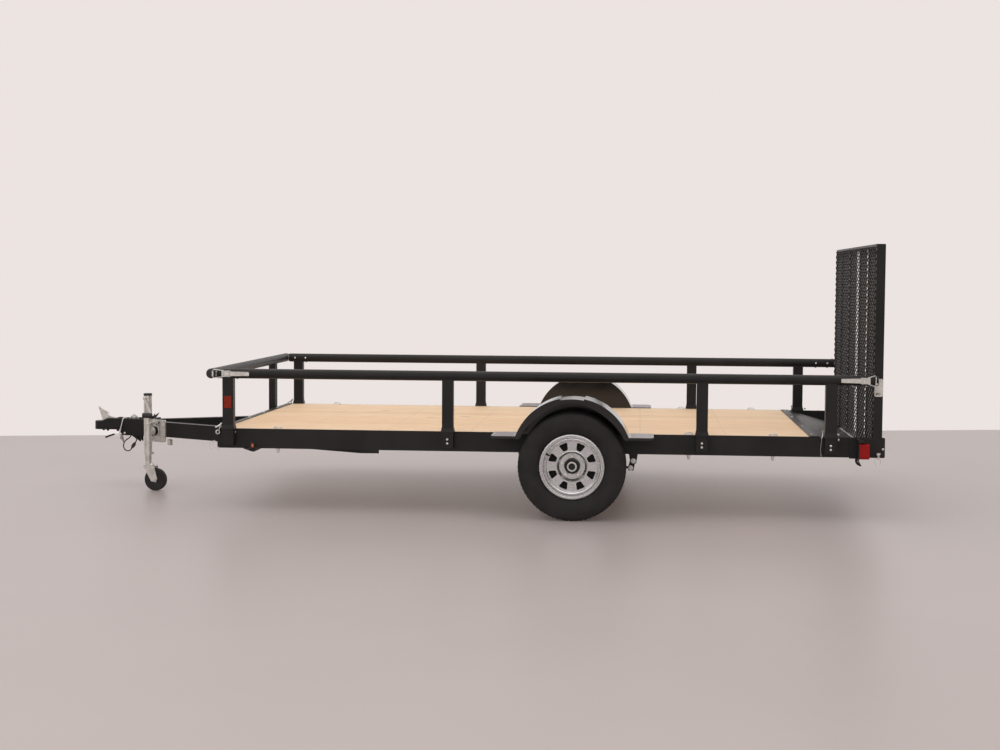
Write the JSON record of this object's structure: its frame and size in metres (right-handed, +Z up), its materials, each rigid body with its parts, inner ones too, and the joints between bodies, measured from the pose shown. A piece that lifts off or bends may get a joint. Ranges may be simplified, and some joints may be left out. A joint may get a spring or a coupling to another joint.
{
  "type": "utility trailer",
  "caption": "Single-axle open utility trailer with plank deck, tube railing, upright mesh ramp gate, A-frame tongue with ball coupler and swivel jack.",
  "frame": {"origin": "on the ground under the middle of the whole trailer's bounding box", "axes": "+X to the rear, away from the coupler; +Y to the trailer's right-hand side; +Z up"},
  "size_m": [4.858, 2.36, 1.549],
  "materials": {
    "black_steel": "satin black powder coat",
    "spring_steel": "black painted spring steel",
    "zinc": "bright zinc plating, slightly dulled",
    "rim_silver": "silver wheel paint",
    "tyre_rubber": "matt black tyre rubber",
    "fender_plastic": "gloss black moulded plastic",
    "black_plastic": "matt black plastic",
    "black_rubber": "black rubber",
    "deck_pine": "untreated pine planks",
    "amber_lens": "amber reflective plastic",
    "red_lens": "red lamp lens"
  },
  "bodies": {
    "frame": {"side_rail_left": "black_steel", "side_rail_right": "black_steel", "front_crossmember": "black_steel", "crossmembers": "black_steel", "rear_crossmembers": "black_steel", "tongue_legs": "black_steel", "coupler": "black_steel", "coupler_latch": "zinc", "deck_planks": "deck_pine", "front_trim": "black_steel", "dovetail_plate": "black_steel", "tie_down_anchors": "zinc", "side_posts_left": "black_steel", "side_posts_right": "black_steel", "top_rail_left": "black_steel", "top_rail_right": "black_steel", "front_rail": "black_steel", "front_posts": "black_steel", "railing_latches": "zinc", "axle_beam": "black_steel", "leaf_springs": "spring_steel", "spring_hangers": "black_steel", "axle_clamps": "black_steel", "fender_left": "fender_plastic", "fender_right": "fender_plastic", "fender_brackets": "black_steel", "marker_lights": "amber_lens", "marker_guards": "black_steel", "tail_brackets": "black_steel", "tail_lights": "red_lens", "reflectors": "amber_lens", "gate_hinge_pins": "zinc", "jack_bracket": "zinc", "wiring_cable": "black_rubber", "wiring_plug": "black_plastic"},
    "wheel_left": {"tyre_left": "tyre_rubber", "rim_left": "rim_silver", "hub_left": "black_steel"},
    "wheel_right": {"tyre_right": "tyre_rubber", "rim_right": "rim_silver", "hub_right": "black_steel"},
    "gate": {"gate_frame": "black_steel", "gate_mesh": "black_steel", "gate_catches": "zinc"},
    "jack": {"jack_tube": "zinc", "jack_cap": "black_plastic", "jack_crank": "zinc", "crank_grip": "black_plastic"},
    "jack_leg": {"jack_leg": "zinc"},
    "caster_fork": {"caster_fork": "zinc"},
    "caster_wheel": {"caster_wheel": "black_rubber"}
  },
  "joints": [
    {"name": "wheel_left_spin", "type": "hinge", "parent": "frame", "child": "wheel_left", "pos_m": [0.689, -1.08, 0.302], "axis": [0, 1, 0], "continuous": true},
    {"name": "wheel_right_spin", "type": "hinge", "parent": "frame", "child": "wheel_right", "pos_m": [0.689, 1.08, 0.302], "axis": [0, 1, 0], "continuous": true},
    {"name": "gate_hinge", "type": "hinge", "parent": "frame", "child": "gate", "pos_m": [2.389, 0, 0.376], "axis": [0, 1, 0], "range_deg": [0, 107]},
    {"name": "jack_swing", "type": "hinge", "parent": "frame", "child": "jack", "pos_m": [-1.98169, -0.13832, 0.371], "axis": [-0.4712, -0.882, 0], "range_deg": [0, 90]},
    {"name": "jack_extend", "type": "slide", "parent": "jack", "child": "jack_leg", "axis": [0, 0, -1], "range_m": [-0.055, 0.25]},
    {"name": "caster_swivel", "type": "hinge", "parent": "jack_leg", "child": "caster_fork", "pos_m": [-2.0175, -0.20536, 0.15], "axis": [0, 0, 1], "continuous": true},
    {"name": "caster_spin", "type": "hinge", "parent": "caster_fork", "child": "caster_wheel", "pos_m": [-1.96777, -0.21058, 0.07], "axis": [-0.1045, -0.9945, 0], "continuous": true}
  ]
}
